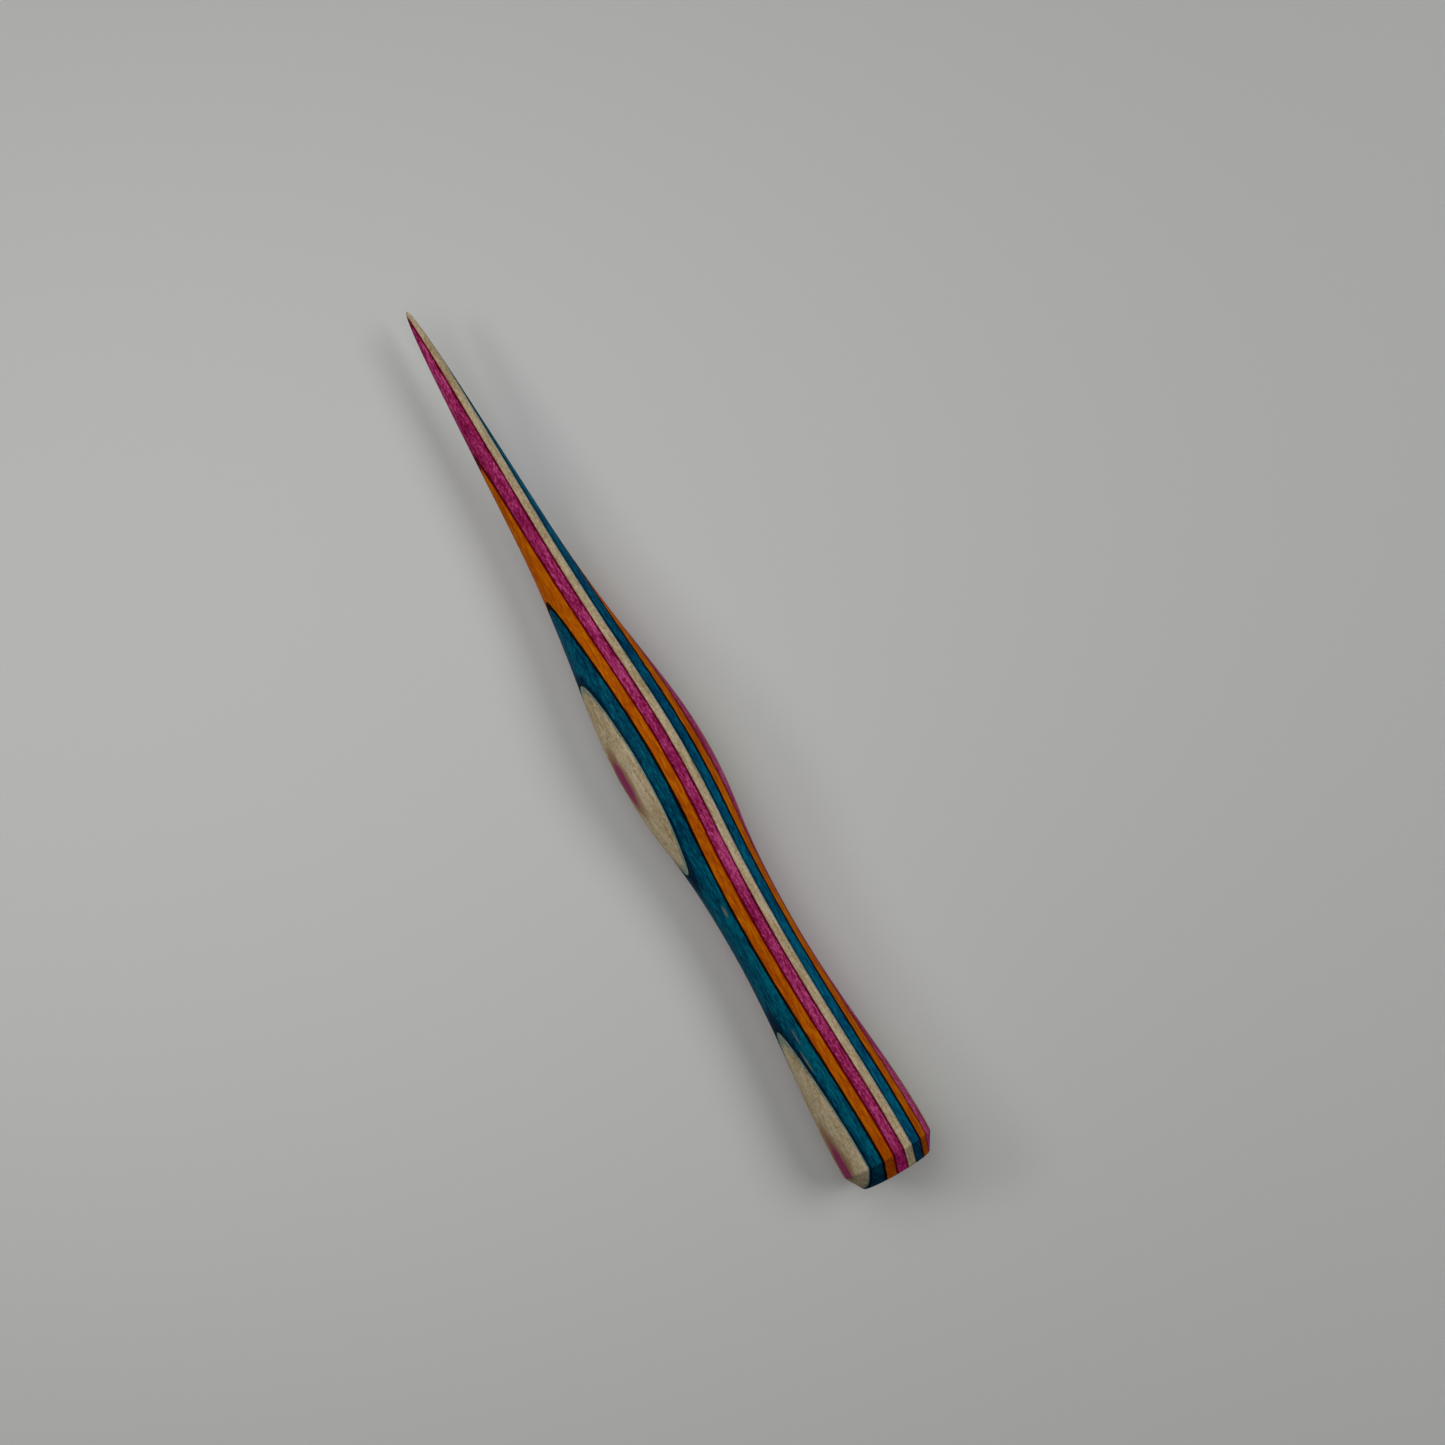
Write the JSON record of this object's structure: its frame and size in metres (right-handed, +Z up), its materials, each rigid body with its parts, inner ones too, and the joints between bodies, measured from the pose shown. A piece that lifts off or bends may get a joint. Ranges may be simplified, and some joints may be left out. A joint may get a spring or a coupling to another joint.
{
  "type": "bookbinding awl",
  "caption": "Slender bookbinding awl turned in one piece from a glued block of dyed wood veneers, with a rounded point, a bulged grip, a waist and a chamfered flat butt.",
  "frame": {"origin": "on the surface that the awl lies on, under the middle of its box", "axes": "+X along the turning axis from the point to the flat butt, +Z up as the awl lies on its side, +Y square to both, on the side of the lower veneers"},
  "size_m": [0.137, 0.0134, 0.0135],
  "materials": {
    "natural_veneer": "undyed maple-like veneer, rubbed to a satin wax finish",
    "teal_veneer": "teal dyed veneer, rubbed to a satin wax finish",
    "orange_veneer": "orange dyed veneer, rubbed to a satin wax finish",
    "pink_veneer": "magenta dyed veneer, rubbed to a satin wax finish",
    "glue_line": "dark cured glue stained by the dyes"
  },
  "bodies": {
    "root": {"upper_natural_bulge": "natural_veneer", "upper_natural_butt": "natural_veneer", "upper_teal_veneer": "teal_veneer", "upper_orange_veneer": "orange_veneer", "centre_pink_veneer": "pink_veneer", "centre_natural_veneer": "natural_veneer", "lower_teal_veneer": "teal_veneer", "lower_orange_veneer": "orange_veneer", "lower_pink_veneer": "pink_veneer", "lower_natural_bulge": "natural_veneer", "lower_natural_butt": "natural_veneer", "glue_upper_natural_bulge": "glue_line", "glue_upper_natural_butt": "glue_line", "glue_upper_teal_orange": "glue_line", "glue_upper_orange_pink": "glue_line", "glue_centre_pink_natural": "glue_line", "glue_centre_natural_teal": "glue_line", "glue_lower_teal_orange": "glue_line", "glue_lower_orange_pink": "glue_line", "glue_lower_natural_bulge": "glue_line", "glue_lower_natural_butt": "glue_line"}
  },
  "joints": []
}
